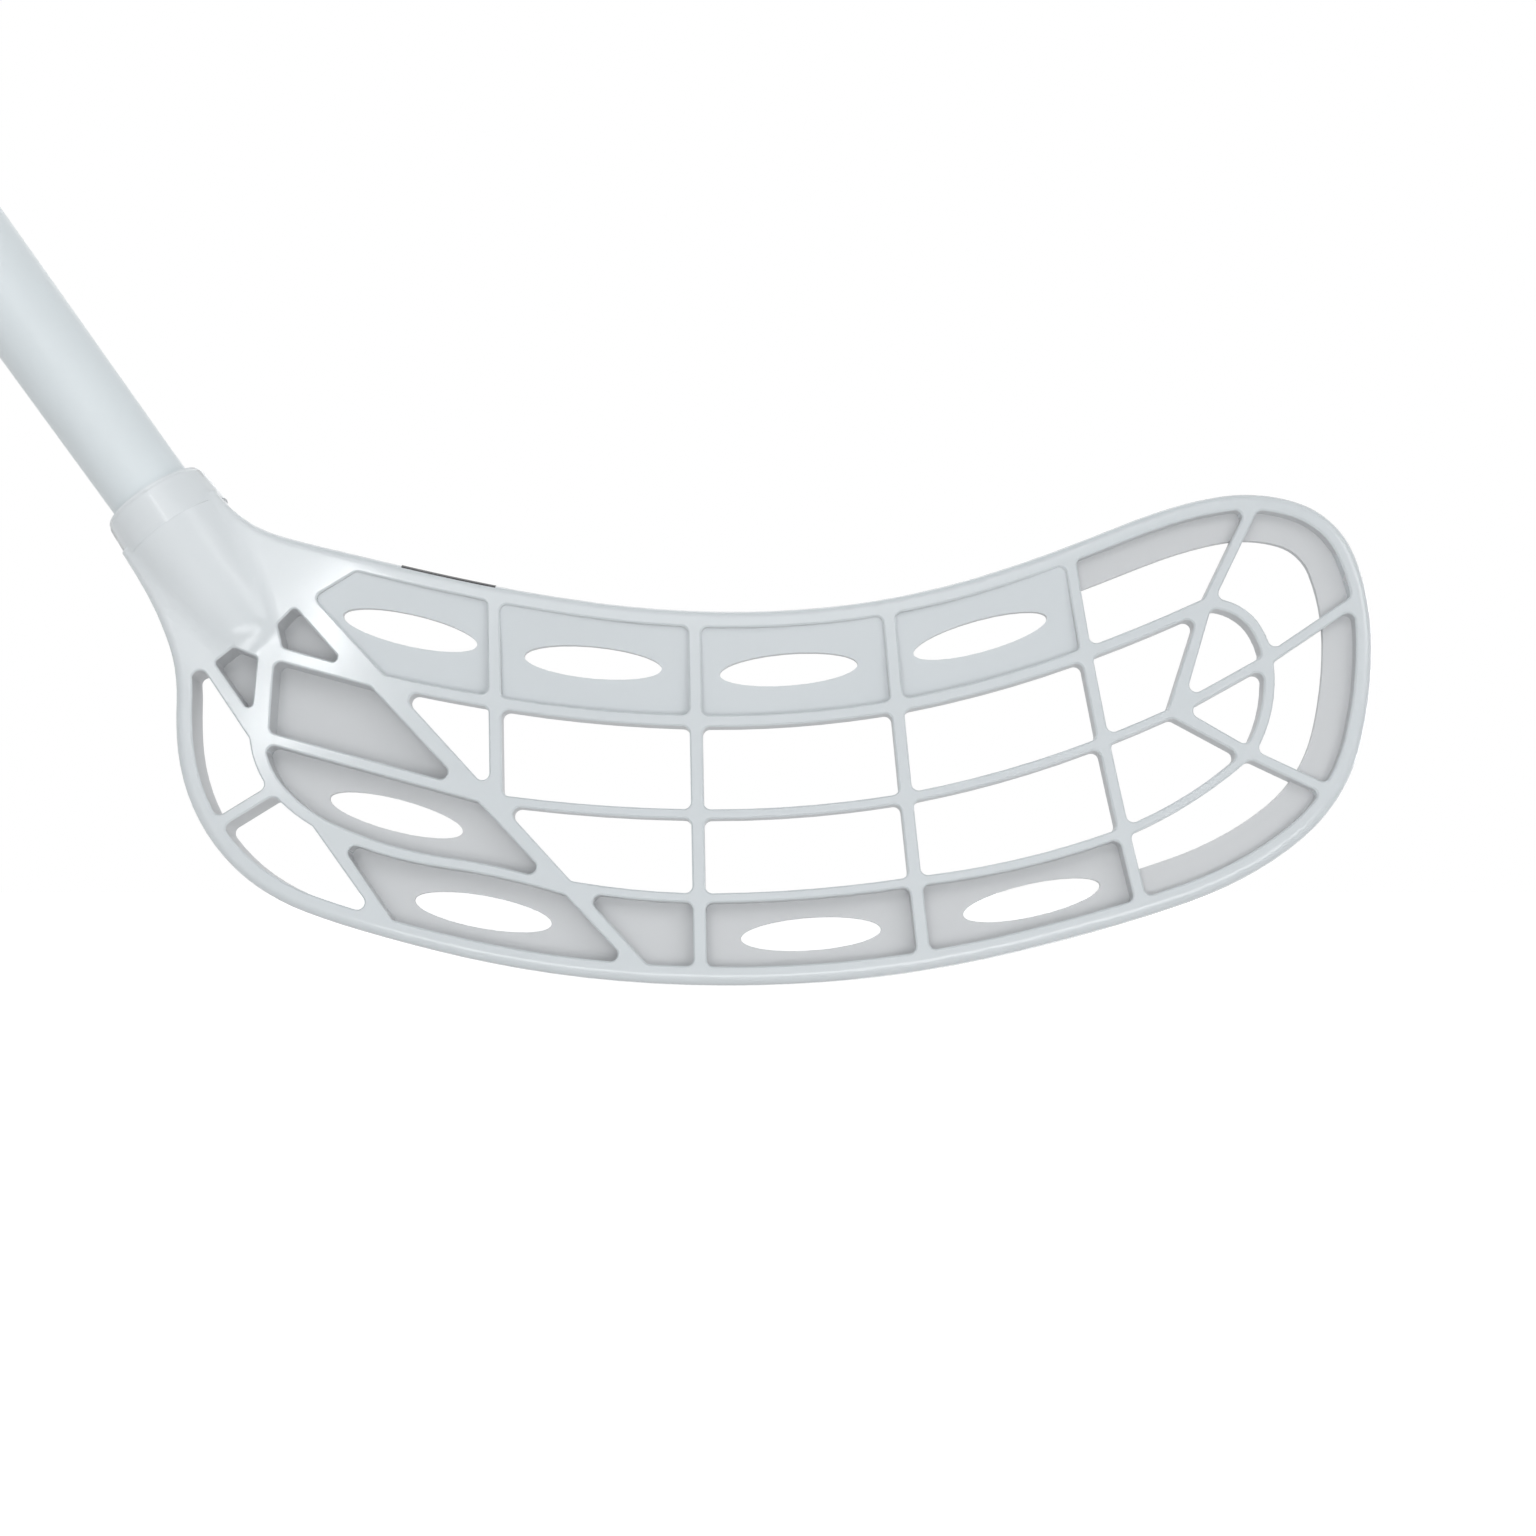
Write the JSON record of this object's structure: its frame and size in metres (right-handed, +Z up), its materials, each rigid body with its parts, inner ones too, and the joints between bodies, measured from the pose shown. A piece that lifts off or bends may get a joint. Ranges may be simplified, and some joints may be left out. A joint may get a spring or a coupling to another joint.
{
  "type": "floorball stick",
  "caption": "Floorball stick with a curved, perforated plastic blade, a hosel that takes a long tapered tubular shaft, a wrapped grip and an end cap, in its playing pose.",
  "frame": {"origin": "on the axis of the shaft, in the middle of the grip", "axes": "+X to the toe of the blade, +Y away from the blade's front face, +Z up in the playing pose"},
  "size_m": [0.8577, 0.042, 0.8797],
  "materials": {
    "blade_plastic": "glossy moulded plastic",
    "dark_film": "thin dark film",
    "shaft_lacquer": "satin lacquer over a composite tube",
    "glue": "cured glue",
    "screw_steel": "plain steel",
    "grip_wrap": "soft perforated wrap",
    "finishing_tape": "thin elastic tape",
    "cap_rubber": "matte rubber"
  },
  "bodies": {
    "root": {"blade": "blade_plastic", "edge_strip": "dark_film", "shaft": "shaft_lacquer", "hosel_glue": "glue", "blade_screw": "screw_steel", "grip": "grip_wrap", "grip_tape": "finishing_tape", "end_cap": "cap_rubber"}
  },
  "joints": []
}
